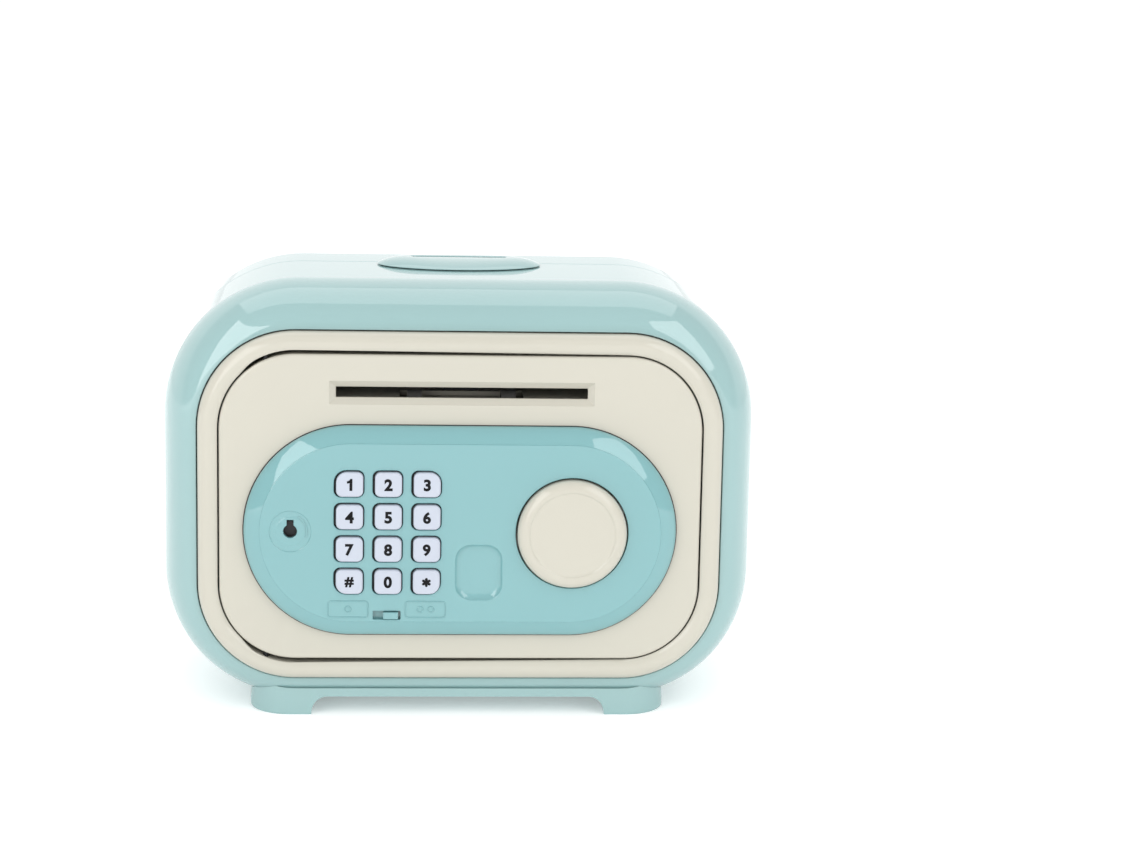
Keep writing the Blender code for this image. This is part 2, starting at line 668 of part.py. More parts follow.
def make_feeder(door, materials):
    floor = box((-47, 47), (0, 22.1), (35.6, 37.1))
    cheeks = [box(sorted((side * 46, side * 48)), (2, 20), (29.5, 48)) for side in (1, -1)]
    bores = [rod(SHAFT_RADIUS + GAP, -50, 50, (FEED_Y, z), "X") for z in (DRIVE_Z, PINCH_Z)]
    window = box((-21, 21), (4.5, 17.5), (35, 38))
    part("feeder_frame", floor, door, materials["cream"], cheeks, bores + [window])

    drive = Joint("feed_drive_hinge", (0, FEED_Y, DRIVE_Z), door)
    pinch = Joint("feed_pinch_hinge", (0, FEED_Y, PINCH_Z), door)
    motor = Joint("motor_pinion_hinge", (0, FEED_Y, MOTOR_Z), door)
    for name, joint, radius, right in (
        ("drive", drive, DRIVE_ROLLER_RADIUS, 55.5), ("pinch", pinch, PINCH_ROLLER_RADIUS, 49.5)
    ):
        centre = (FEED_Y, joint.point.z)
        part(f"{name}_shaft", rod(SHAFT_RADIUS, -49.5, right, centre, "X"), joint, materials["steel"])
        for side_name, side in (("left", -1), ("right", 1)):
            roller = rod(radius, side * ROLLER_X - 2.5, side * ROLLER_X + 2.5, centre, "X", 20)
            bore = rod(SHAFT_RADIUS + GAP, side * ROLLER_X - 4, side * ROLLER_X + 4, centre, "X")
            part(f"{name}_roller_{side_name}", roller, joint, materials["rubber"], cut=[bore])
    centre = (FEED_Y, DRIVE_Z)
    gear = prism(gear_outline(GEAR_TEETH, centre, 0), *GEAR_X, "X")
    part("drive_gear", gear, drive, materials["grey"], cut=[rod(SHAFT_RADIUS + GAP, 49, 56, centre, "X")])
    centre = (FEED_Y, MOTOR_Z)
    pinion = prism(gear_outline(PINION_TEETH, centre, math.pi / PINION_TEETH), *GEAR_X, "X")
    part("motor_pinion", pinion, motor, materials["grey"], [rod(1.6, 49.3, 51.5, centre, "X")])

    can = [(FEED_Y + y, MOTOR_Z + z) for y, z in centred_rectangle((0, 0), (20, 15.1), 6.5, 4)]
    part("feed_motor", prism(can, 24, 49, "X"), door, materials["steel"])
    part("note_sensor", box((-6, 6), (18, 21), (37.4, 38.6)), door, materials["black"])


# ---------------------------------------------------------------- cover, speaker and batteries


def cover_ring(inset, y):
    half_width = (COVER_RIGHT - COVER_LEFT) / 2
    outline = rounded_rectangle(
        half_width - inset, COVER_TOP - inset, COVER_BOTTOM + inset, COVER_RADIUS - inset, 5,
        (COVER_RIGHT + COVER_LEFT) / 2,
    )
    return [(x, y, z) for x, z in outline]


def make_cover(door, materials):
    front = DOOR_FACE + DOOR_SKIN + GAP
    inner_back = COVER_BACK - COVER_WALL
    rings = [
        cover_ring(COVER_WALL, inner_back), cover_ring(COVER_WALL, front), cover_ring(0, front),
        cover_ring(0, COVER_BACK - 1), cover_ring(1, COVER_BACK),
    ]
    through = (inner_back - 1, COVER_BACK + 1)
    speaker_at = (42.0, -28.0)
    cuts = [
        box((60, 80), (LATCH_Y[0] - 0.6, LATCH_Y[1] + 0.6), (LATCH_Z[0] - 0.6, LATCH_Z[1] + 0.6)),
        box((-44, 44), through, (37.1, 43)),
        box((TRAY_X[0] + 1, TRAY_X[1] - 1), through, (TRAY_Z[0] + 1, TRAY_Z[1] - 0.8)),
    ]
    for x, z in [(0, 0)] + circle((0, 0), 6.5, 6):
        cuts.append(rod(1.4, *through, (speaker_at[0] + x, speaker_at[1] + z), steps=8))
    cuts += [rod(1.5, *through, at) for at in COVER_POSTS]
    part("door_back_cover", loft(rings), door, materials["cream"], cut=cuts)
    for number, at in enumerate(COVER_POSTS, 1):
        head = COVER_BACK + GAP
        screw = turned([(1.2, 8), (1.2, head), (2.6, head), (2.6, 25.9)], at, steps=SMALL_STEPS)
        part(f"cover_screw_{number}", screw, door, materials["steel"])
    horn = turned(((6, 13.5), (9, 13.5), (9, 17), (13, 19.5), (13, 21.6)), speaker_at)
    part("speaker", horn, door, materials["black"])


def make_batteries(door, materials):
    tray = box(TRAY_X, (4.8, COVER_BACK - COVER_WALL - GAP), TRAY_Z)
    bay = box((TRAY_X[0] + 1.2, TRAY_X[1] - 1.2), (6.0, COVER_BACK), (TRAY_Z[0] + 1.2, TRAY_Z[1] - 1.2))
    part("battery_tray", tray, door, materials["cream"], cut=[bay])
    right = BATTERY_LEFT + BATTERY_LENGTH
    for number, z in enumerate(BATTERY_Z, 1):
        cell = turned(
            (
                (BATTERY_RADIUS, BATTERY_LEFT), (BATTERY_RADIUS, right - 1.5), (2.7, right - 1.5),
                (2.7, right),
            ),
            (BATTERY_Y, z), "X", 16,
        )
        part(f"battery_{number}", cell, door, materials["battery"])
    z_range = (TRAY_Z[0] + 2, TRAY_Z[1] - 2)
    for name, x_range in (("left", (-39.0, -38.4)), ("right", (17.0, 17.6))):
        part(f"contact_{name}", box(x_range, (8, 19), z_range), door, materials["steel"])
    joint = Joint("battery_lid_slide", (-10.5, COVER_BACK, -22.4), door)
    lid = prism(
        centred_rectangle((-10.5, -22.3), (58.2, 44.8), 1.0, 1), COVER_BACK - COVER_WALL + 0.1, COVER_BACK
    )
    grip = grip_grooves()
    part("battery_lid", lid, joint, materials["cream"], cut=grip)


def grip_grooves():
    """Three finger grooves across the battery lid."""
    return [box((-30, 9), (COVER_BACK - 0.6, COVER_BACK + 1), (z, z + 1.2)) for z in (-26.0, -23.0, -20.0)]


def main():
    for obj in list(bpy.data.objects):
        bpy.data.objects.remove(obj)
    materials = make_materials()
    root = Joint("bank", (0, 0, 0))
    door = Joint("door_hinge", (HINGE_X, HINGE_Y, 0), root)
    make_housing(root, materials)
    make_door_panel(door, materials["cream"])
    make_control_panel(door, materials["panel_blue"])
    make_keypad(door, materials)
    make_switch(door, materials)
    make_knob(door, materials)
    make_lock(door, materials)
    make_feeder(door, materials)
    make_cover(door, materials)
    make_batteries(door, materials)


main()
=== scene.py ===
"""Looks of the toy cash-machine savings bank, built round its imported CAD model.

Shapes are worked out in millimetres from the centre of the front frame: x to the right, y into the bank,
z up. Mould.place() turns them into metres at the CAD model's own place.
"""

import json
import math

import bmesh
import bpy
from mathutils import Matrix, Vector


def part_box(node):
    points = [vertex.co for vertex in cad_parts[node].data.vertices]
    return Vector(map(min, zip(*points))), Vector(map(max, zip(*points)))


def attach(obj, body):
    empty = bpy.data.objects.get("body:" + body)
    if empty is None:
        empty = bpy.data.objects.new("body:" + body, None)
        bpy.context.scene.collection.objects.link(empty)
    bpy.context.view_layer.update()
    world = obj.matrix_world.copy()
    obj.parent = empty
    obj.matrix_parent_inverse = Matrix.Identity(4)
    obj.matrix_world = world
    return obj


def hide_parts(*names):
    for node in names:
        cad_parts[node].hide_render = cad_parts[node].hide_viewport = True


MM = 0.001
GAP = 0.3

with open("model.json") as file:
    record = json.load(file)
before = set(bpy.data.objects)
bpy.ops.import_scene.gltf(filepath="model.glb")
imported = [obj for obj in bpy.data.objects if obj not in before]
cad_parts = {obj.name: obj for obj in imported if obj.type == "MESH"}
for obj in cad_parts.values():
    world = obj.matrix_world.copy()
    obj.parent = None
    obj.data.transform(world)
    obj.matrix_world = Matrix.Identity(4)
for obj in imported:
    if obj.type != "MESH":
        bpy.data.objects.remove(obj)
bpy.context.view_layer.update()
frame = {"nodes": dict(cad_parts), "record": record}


def centre_of_face():
    """The middle of the front frame, on the plane that its outer edge lies in."""
    low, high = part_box("front_frame")
    panel_low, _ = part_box("control_panel")
    return Vector((0, panel_low.y + 8.8 * MM, (low.z + high.z) / 2))


FACE = centre_of_face()
STUDIO = 0.8
LAMP_DISTANCE = 6.0
BACKDROP = 1.22


def box_of(node):
    """A CAD node's lowest and highest corners, in millimetres from the middle of the face."""
    low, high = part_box(node)
    return (low - FACE) / MM, (high - FACE) / MM


def middle_of(node):
    """The (x, z) of a CAD node's middle."""
    low, high = box_of(node)
    return ((low.x + high.x) / 2, (low.z + high.z) / 2)


# ---------------------------------------------------------------- outlines


def rounded(half_width, top, bottom, radius, steps=10, centre=0.0):
    """Points (x, z) round a rectangle. The radius is one number, or one for each corner from top right."""
    radii = radius if isinstance(radius, tuple) else (radius,) * 4
    points = []
    for (side, up, start), r in zip(((1, 1, 0), (-1, 1, 90), (-1, -1, 180), (1, -1, 270)), radii):
        middle = centre + side * (half_width - r)
        middle_up = top - r if up > 0 else bottom + r
        for step in range(steps + 1):
            angle = math.radians(start + 90 * step / steps)
            points.append((middle + r * math.cos(angle), middle_up + r * math.sin(angle)))
    return points


def block(centre, size, radius, steps=6, grow=0.0):
    half_width, half_height = size[0] / 2 + grow, size[1] / 2 + grow
    radii = radius if isinstance(radius, tuple) else (radius,) * 4
    radii = tuple(max(r + grow, 0.02) for r in radii)
    return rounded(half_width, centre[1] + half_height, centre[1] - half_height, radii, steps, centre[0])


def circle(centre, radius, steps=64):
    angles = [2 * math.pi * step / steps for step in range(steps)]
    return [(centre[0] + radius * math.cos(a), centre[1] + radius * math.sin(a)) for a in angles]


def at_y(outline, y):
    return [(x, y, z) for x, z in outline]


def at_z(outline, z):
    return [(x, y, z) for x, y in outline]


def quarter(steps):
    """(1 - cos, sin) pairs from 0 to 90 degrees, for rounding an edge."""
    return [
        (1 - math.cos(math.radians(90 * s / steps)), math.sin(math.radians(90 * s / steps)))
        for s in range(steps + 1)
    ]


# ---------------------------------------------------------------- meshes


class Mould:
    """A mesh made of rings of points, walls between them and flat faces that may have holes."""

    def __init__(self):
        self.bm = bmesh.new()

    def ring(self, points):
        return [self.bm.verts.new(point) for point in points]

    def rings(self, many):
        return [self.ring(points) for points in many]

    def wall(self, *rings):
        for first, second in zip(rings, rings[1:]):
            for index in range(len(first)):
                after = (index + 1) % len(first)
                self.bm.faces.new((first[index], first[after], second[after], second[index]))

    def flat(self, *rings):
        """A flat face between an outer ring and any holes in it."""
        edges = []
        for ring in rings:
            for index, vert in enumerate(ring):
                other = ring[(index + 1) % len(ring)]
                edges.append(self.bm.edges.get((vert, other)) or self.bm.edges.new((vert, other)))
        bmesh.ops.triangle_fill(self.bm, use_beauty=True, use_dissolve=False, edges=edges)

    def cap(self, ring):
        self.bm.faces.new(ring)

    def place(self, name, body, material, slot, angle=40, weighted=True, replaces=()):
        """Welds the mesh, turns its faces outward and makes an object that rides on its CAD body."""
        bmesh.ops.remove_doubles(self.bm, verts=self.bm.verts, dist=1e-4)
        bmesh.ops.recalc_face_normals(self.bm, faces=self.bm.faces)
        self.bm.transform(Matrix.Translation(FACE) @ Matrix.Scale(MM, 4))
        mesh = bpy.data.meshes.new(name)
        self.bm.to_mesh(mesh)
        self.bm.free()
        return show(mesh, name, body, material, slot, angle, weighted, replaces)


def show(mesh, name, body, material, slot, angle=40, weighted=True, replaces=()):
    mesh.shade_smooth()
    mesh.set_sharp_from_angle(angle=math.radians(angle))
    mesh.materials.clear()
    mesh.materials.append(material)
    obj = bpy.data.objects.new(name, mesh)
    bpy.context.scene.collection.objects.link(obj)
    if weighted:
        modifier = obj.modifiers.new("Normals", "WEIGHTED_NORMAL")
        modifier.keep_sharp = True
    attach(obj, body)
    if replaces:
        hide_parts(*replaces)
    return obj


def loft(rings, closed=False):
    mould = Mould()
    made = mould.rings(rings)
    mould.wall(*made)
    if closed:
        mould.wall(made[-1], made[0])
    else:
        mould.cap(made[0])
        mould.cap(made[-1])
    return mould


def turned(profile, centre, steps):
    """A body turned round an axis along Y, from (radius, y) pairs."""
    return loft([at_y(circle(centre, radius, steps), y) for radius, y in profile])


def cutter(mould):
    """A mould as a plain object, to be the base or the tool of a Boolean step."""
    bmesh.ops.recalc_face_normals(mould.bm, faces=mould.bm.faces)
    mould.bm.transform(Matrix.Translation(FACE) @ Matrix.Scale(MM, 4))
    mesh = bpy.data.meshes.new("cutter")
    mould.bm.to_mesh(mesh)
    mould.bm.free()
    return bpy.data.objects.new("cutter", mesh)


def boolean(mesh_object, tool, operation):
    """Applies one Boolean step to an object's mesh at once, and throws the tool away."""
    bpy.context.scene.collection.objects.link(tool)
    modifier = mesh_object.modifiers.new("Cut", "BOOLEAN")
    modifier.object = tool
    modifier.operation = operation
    modifier.solver = "EXACT"
    graph = bpy.context.evaluated_depsgraph_get()
    mesh = bpy.data.meshes.new_from_object(mesh_object.evaluated_get(graph))
    mesh_object.modifiers.remove(modifier)
    old = mesh_object.data
    mesh_object.data = mesh
    bpy.data.meshes.remove(old)
    bpy.data.objects.remove(tool)


def carved(mould, cuts=(), joins=()):
    """The mesh of a mould after other moulds are joined to it and cut from it."""
    obj = cutter(mould)
    bpy.context.scene.collection.objects.link(obj)
    for other in joins:
        boolean(obj, cutter(other), "UNION")
    for other in cuts:
        boolean(obj, cutter(other), "DIFFERENCE")
    mesh = obj.data
    bpy.data.objects.remove(obj)
    return mesh


def cube(x_range, y_range, z_range):
    corners = [(x_range[i], z_range[j]) for i, j in ((0, 0), (1, 0), (1, 1), (0, 1))]
    return loft([at_y(corners, y) for y in y_range])


# ---------------------------------------------------------------- materials


def colour_of(red, green, blue):
    """A linear colour from its 8-bit screen values."""
    values = []
    for value in (red, green, blue):
        share = value / 255
        values.append(share / 12.92 if share <= 0.04045 else ((share + 0.055) / 1.055) ** 2.4)
    return tuple(values)


class Surface:
    """A node material that starts from a Principled shader and object-space noise."""

    def __init__(self, name, roughness=0.3, metallic=0.0):
        self.material = bpy.data.materials.new(name)
        self.material.use_nodes = True
        self.tree = self.material.node_tree
        self.shader = self.tree.nodes["Principled BSDF"]
        self.shader.inputs["Roughness"].default_value = roughness
        self.shader.inputs["Metallic"].default_value = metallic
        self.place = self.tree.nodes.new("ShaderNodeTexCoord")

    def noise(self, scale, detail=3.0, rough=0.5, stretch=None):
        node = self.tree.nodes.new("ShaderNodeTexNoise")
        node.inputs["Scale"].default_value = scale
        node.inputs["Detail"].default_value = detail
        node.inputs["Roughness"].default_value = rough
        source = self.place.outputs["Object"]
        if stretch:
            mapping = self.tree.nodes.new("ShaderNodeMapping")
            mapping.inputs["Scale"].default_value = stretch
            self.tree.links.new(source, mapping.inputs["Vector"])
            source = mapping.outputs["Vector"]
        self.tree.links.new(source, node.inputs["Vector"])
        return node.outputs["Fac"]

    def between(self, value, low, high, start=0.3, end=0.7):
        node = self.tree.nodes.new("ShaderNodeMapRange")
        node.inputs["From Min"].default_value = start
        node.inputs["From Max"].default_value = end
        node.inputs["To Min"].default_value = low
        node.inputs["To Max"].default_value = high
        self.tree.links.new(value, node.inputs["Value"])
        return node.outputs["Result"]

    def mix(self, value, first, second):
        node = self.tree.nodes.new("ShaderNodeMix")
        node.data_type = "RGBA"
        node.inputs["A"].default_value = (*first, 1)
        node.inputs["B"].default_value = (*second, 1)
        self.tree.links.new(value, node.inputs["Factor"])
        return node.outputs["Result"]

    def colour(self, value, first, second):
        self.tree.links.new(self.mix(value, first, second), self.shader.inputs["Base Color"])

    def roughness(self, value, low, high):
        self.tree.links.new(self.between(value, low, high), self.shader.inputs["Roughness"])

    def bump(self, value, depth):
        node = self.tree.nodes.new("ShaderNodeBump")
        node.inputs["Strength"].default_value = 1.0
        node.inputs["Distance"].default_value = depth
        self.tree.links.new(value, node.inputs["Height"])
        self.tree.links.new(node.outputs["Normal"], self.shader.inputs["Normal"])


def moulded(name, colour, roughness, tint=0.02, peel=0.000004, grain=350.0):
    """Moulded plastic: its colour drifts a little, its gloss is uneven and its skin has a fine peel."""
    surface = Surface(name, roughness)
    darker = tuple(c * (1 - tint) for c in colour)
    lighter = tuple(min(c * (1 + tint), 1.0) for c in colour)
    surface.colour(surface.between(surface.noise(9.0, 2.0), 0, 1), darker, lighter)
    surface.roughness(surface.noise(60.0, 4.0), roughness * 0.85, roughness * 1.2)
    surface.bump(surface.noise(grain, 2.0), peel)
    return surface.material


def brushed(name, colour, roughness):
    """Plated steel with fine drawn lines along X."""
    surface = Surface(name, roughness, 1.0)
    lines = surface.noise(900.0, 3.0, 0.6, (0.05, 1.0, 1.0))
    surface.colour(surface.between(lines, 0, 1), tuple(c * 0.9 for c in colour), colour)
    surface.roughness(lines, roughness * 0.7, roughness * 1.4)
    surface.bump(lines, 0.00001)
    return surface.material


BLUE = moulded("shell_plastic", colour_of(137, 169, 169), 0.03)
PANEL = moulded("panel_plastic", colour_of(112, 159, 162), 0.03)
CREAM = moulded("cream_plastic", colour_of(184, 181, 169), 0.08)
KEY = moulded("key_plastic", colour_of(177, 183, 195), 0.34, 0.012, 0.00003, 700.0)
INK = moulded("key_ink", colour_of(10, 9, 12), 0.6, 0.2, 0.00001, 1200.0)
INK.node_tree.nodes["Principled BSDF"].inputs["Specular IOR Level"].default_value = 0.2
for glossy in (BLUE, PANEL):
    glossy.node_tree.nodes["Principled BSDF"].inputs["Specular IOR Level"].default_value = 0.9
# Black plastic for the parts that are black, and painted shade for the dark rings in the gaps round the frame
# and the control panel.
BLACK_AND_SHADE = moulded("black_plastic", colour_of(22, 24, 26), 0.4, 0.1, 0.00003, 800.0)
GREY = moulded("grey_acetal", colour_of(150, 150, 148), 0.45, 0.05, 0.00003, 600.0)
RUBBER = moulded("roller_rubber", colour_of(96, 95, 93), 0.75, 0.12, 0.00006, 1500.0)
BOARD = moulded("circuit_board", colour_of(30, 92, 52), 0.35, 0.15, 0.00004, 1500.0)
STEEL = brushed("plated_steel", (0.62, 0.62, 0.62), 0.28)
# Near-black steel for the hinge pins and the switch body; on the switch body, seen through the slider's slot,
# the dark colour is painted shade.
DARK_STEEL_AND_SHADE = brushed("dark_steel_and_painted_shade", (0.03, 0.03, 0.032), 0.5)
BATTERY = moulded("battery_jacket", colour_of(52, 54, 60), 0.3, 0.08, 0.00002, 500.0)

LOOKS = {
    "blue": BLUE, "panel_blue": PANEL, "cream": CREAM, "key": KEY, "grey": GREY, "black": BLACK_AND_SHADE,
    "rubber": RUBBER, "board": BOARD, "steel": STEEL, "battery": BATTERY,
}
# The hinge pins and the switch body get the near-black steel; for the switch body it is painted shade in the
# slider's slot.
DARK_PINS_AND_SHADED_SWITCH = ("hinge_pin_upper", "hinge_pin_lower", "switch_body")


def dress_cad_nodes():
    """Every CAD node that stays gets a finished material and smooth round faces."""
    slots = {row["node"]: row["material_slot"] for row in frame["record"]["subparts"]}
    for name, obj in frame["nodes"].items():
        obj.data.materials.clear()
        obj.data.materials.append(DARK_STEEL_AND_SHADE if name in DARK_PINS_AND_SHADED_SWITCH else LOOKS[slots[name]])
        obj.data.shade_smooth()
        obj.data.set_sharp_from_angle(angle=math.radians(35))


# ---------------------------------------------------------------- housing

MOUTH = (89.7, 60.7, -60.7, 33.7)
FULL = (102.0, 75.0, -71.3, 46.5)
SEAM_HALF_WIDTH = 102.8
MOUTH_Y = 0.5
NOSE_DEPTH = 25.0
WALL = 2.2
SEAM_Y = 72.0
REAR_Y = 112.0
REAR_RADIUS = 16.0
SHELL_STEPS = 20
SEAT_GAP = 0.06


def section(half_width, top, bottom, radius, y, steps=SHELL_STEPS):
    return at_y(rounded(half_width, top, bottom, radius, steps), y)


def nose(degrees, wall=0.0):
    """A ring of the rounded nose, from the mouth at 0 degrees to the full section at 90."""
    rise = 1 - math.sin(math.radians(degrees))
    run = 1 - math.cos(math.radians(degrees))
    draws = [abs(full - opening) - wall for full, opening in zip(FULL, MOUTH)]
    return section(
        FULL[0] - wall - draws[0] * rise, FULL[1] - wall - draws[1] * rise, FULL[2] + wall + draws[2] * rise,
        FULL[3] - wall - draws[3] * rise, MOUTH_Y + wall + (NOSE_DEPTH - wall) * run,
    )


def body(inset, y, half_width=SEAM_HALF_WIDTH):
    return section(half_width - inset, FULL[1] - inset, FULL[2] + inset, FULL[3] - inset, y)


def tail(wall=0.0, steps=12):
    """Rings of the round back edge, up to the flat back."""
    rings = []
    for out, along in quarter(steps):
        radius = REAR_RADIUS - wall
        rings.append(body(wall + radius * out, REAR_Y - REAR_RADIUS + radius * along))
    return rings


def mouth(inset, y):
    return section(MOUTH[0] - inset, MOUTH[1] - inset, MOUTH[2] + inset, MOUTH[3] - inset, y)


def make_front_shell():
    angles = [90 * (step / 22) ** 0.9 for step in range(23)]
    lip = 0.3
    rings = [mouth(lip * along, MOUTH_Y + lip * out) for out, along in quarter(3)][::-1]
    rings += [nose(angle) for angle in angles[1:]]
    edge = 0.35
    seam = SEAM_Y - GAP / 2
    rings += [body(edge * out, seam - edge + edge * along) for out, along in quarter(3)]
    rings += [body(WALL, seam)]
    rings += [nose(angle, WALL) for angle in angles[::-1][:-1]] + [mouth(lip, MOUTH_Y + WALL)]
    loft(rings, closed=True).place("front_shell_skin", "housing", BLUE, "blue", replaces=("front_shell",))


SCREW_PLACES = [middle_of(f"shell_screw_{number}") for number in range(1, 5)]


def make_posts():
    """The screw posts inside the front shell, each on a rib from the side wall."""
    for number, (x, z) in enumerate(SCREW_PLACES, 1):
        side = math.copysign(1, x)
        profile = [(4.1, 48), (4.5, 48.4), (4.5, 71.3), (4.1, 71.7), (1.6, 71.7), (1.6, 56)]
        post = loft([at_y(circle((x, z), radius, 32), y) for radius, y in profile])
        rib = cube(sorted((x + side * 4.2, side * 97.6)), (50, 66), (z - 1, z + 1))
        mesh = carved(post, joins=[rib])
        show(mesh, f"shell_post_{number}", "housing", BLUE, "blue")


def make_rear_shell():
    mould = Mould()
    edge = 0.35
    seam = SEAM_Y + GAP / 2
    tongue = 69.6
    outside = [body(WALL + GAP, tongue + 0.4), body(WALL + GAP, seam), body(edge, seam)]
    outside += [body(edge * (1 - along), seam + edge * out) for out, along in quarter(3)]
    outside += tail()
    inside = [body(WALL + 1.6, tongue), body(WALL + 1.6, 74.5), body(WALL, 79)] + tail(WALL)
    tip = mould.ring(body(WALL + GAP + 0.4, tongue))
    outer = mould.rings(outside)
    inner = mould.rings(inside)
    mould.wall(inner[0], tip, *outer)
    mould.wall(*inner)
    wells = []
    for x, z in SCREW_PLACES:
        rim = mould.ring(at_y(circle((x, z), 4.0, 40), REAR_Y))
        throat = mould.rings(at_y(circle((x, z), radius, 40), y) for radius, y in (
            (3.75, REAR_Y - 0.08), (3.6, REAR_Y - 0.35), (3.6, 86), (1.8, 86), (1.8, 75.0), (5.0, 75.0),
            (5.0, REAR_Y - WALL),
        ))
        mould.wall(rim, *throat)
        wells.append((rim, throat[-1]))
    mould.flat(outer[-1], *[rim for rim, _ in wells])
    mould.flat(inner[-1], *[foot for _, foot in wells])
    mould.place("rear_shell_skin", "housing", BLUE, "blue", replaces=("rear_shell",))


FRAME_HALF = (89.0, 60.0)
FRAME_RADIUS = 33.0
FRAME_STEPS = 24
RELIEF_INSET = 6.0
BOTTOM_LIFT = 0.045


def bead_profile():
    """(inset, y) points of the frame: a round bead, a step behind the door's edge, a wall and a flange."""
    points = []
    for step in range(13):
        angle = math.radians(90 * step / 12)
        points.append((3.5 - 3.5 * math.cos(angle), 0.2 - 3.8 * math.sin(angle)))
    for step in range(1, 9):
        angle = math.radians(90 * step / 8)
        points.append((3.5 + 3.35 * math.sin(angle), -2.45 - 1.15 * math.cos(angle)))
    points += [(6.8, -2.2), (6.0, -1.2), (6.0, 9.1), (5.6, 9.5), (4.3, 9.5), (3.9, 9.1), (3.9, 5.6)]
    points += [(-2.3, 5.6), (-2.5, 5.4), (-2.5, 3.9), (-2.3, 3.7), (0.0, 3.7)]
    return points


def frame_ring(inset, y, lift=0.0):
    half_width, half_height = FRAME_HALF
    bottom = inset * (1 + lift) - half_height
    return section(half_width - inset, half_height - inset, bottom, FRAME_RADIUS - inset, y, FRAME_STEPS)


def hinge_relief(x, z):
    """How much the bead draws back here, from 0 to 1, so that the door's edge swings past it."""
    if abs(z) < 40:
        return 0.0
    return min(max((x + 79) / 6, 0), 1) * min(max((-48 - x) / 7, 0), 1)


def make_frame():
    relief = [hinge_relief(x, z) for x, _, z in frame_ring(0, 0)]
    rings = []
    for inset, y in bead_profile():
        full = frame_ring(inset, y, BOTTOM_LIFT)
        drawn = frame_ring(min(inset, RELIEF_INSET), y)
        rings.append([Vector(a).lerp(Vector(b), share) for a, b, share in zip(full, drawn, relief)])
    loft(rings, closed=True).place("front_frame_skin", "housing", CREAM, "cream", replaces=("front_frame",))
    # A black ring deep in the gap between the frame and the shell's mouth is painted shade: it draws the
    # gap's dark line.
    painted_shadow_band = ((-0.64, 1.9), (-0.06, 1.9), (-0.06, 3.5), (-0.64, 3.5))
    rings = [frame_ring(inset, y) for inset, y in painted_shadow_band]
    loft(rings, closed=True).place("frame_painted_shadow_ring", "housing", BLACK_AND_SHADE, "black")


STAND_HALF_WIDTH = 72.0
STAND_RADIUS = 13.5
ARCH_HALF_WIDTH = 50.5
ARCH_Z = -67.2
ARCH_ROUND = (5.4, 5.8)


def make_stand():
    """The stand: its feet are drafted, round at the corners, and cut to the shell's belly."""
    low, high = box_of("base_stand")
    middle = (low.y + high.y) / 2
    half_depth = (high.y - low.y) / 2
    rings = [(0.9 * out, low.z + 0.9 * (1 - along)) for out, along in quarter(5)[::-1]]
    rings += [(0.0, low.z + 3), (1.3, -50.0)]
    solid = []
    for draw, z in rings:
        depth = half_depth - draw * 0.3
        outline = rounded(STAND_HALF_WIDTH - draw, middle + depth, middle - depth, STAND_RADIUS, 16)
        solid.append(at_z(outline, z))
    belly = loft([nose_out(a) for a in (0, 8, 16, 24, 32, 40, 50, 60, 75, 90)] + tail(-SEAT_GAP, 8))
    arch = [(-ARCH_HALF_WIDTH, low.z - 1), (ARCH_HALF_WIDTH, low.z - 1)]
    for side in (1, -1):
        for step in range(13):
            angle = math.radians(7.5 * (step if side > 0 else 12 - step))
            across = ARCH_HALF_WIDTH - ARCH_ROUND[0] * (1 - math.cos(angle))
            arch.append((side * across, ARCH_Z - ARCH_ROUND[1] * (1 - math.sin(angle))))
    lips = [
        loft([mouth(-grow, y) for y in span])
        for grow, span in ((3.6, (-4, 3)), (-3.0, (REAR_Y - 3, REAR_Y + 4)))
    ]
    mesh = carved(loft(solid), cuts=[belly, loft([at_y(arch, y) for y in (-5, REAR_Y + 5)])] + lips)
    show(mesh, "base_stand_skin", "housing", BLUE, "blue", 30, replaces=("base_stand",))


def nose_out(degrees):
    """The nose, a hair further out, to cut the stand with."""
    rise = 1 - math.sin(math.radians(degrees))
    run = 1 - math.cos(math.radians(degrees))
    draws = [abs(full - opening) for full, opening in zip(FULL, MOUTH)]
    return section(
        FULL[0] + SEAT_GAP - draws[0] * rise, FULL[1] + SEAT_GAP - draws[1] * rise,
        FULL[2] - SEAT_GAP + draws[2] * rise, FULL[3] + SEAT_GAP - draws[3] * rise,
        MOUTH_Y - SEAT_GAP + (NOSE_DEPTH + SEAT_GAP) * run,
    )


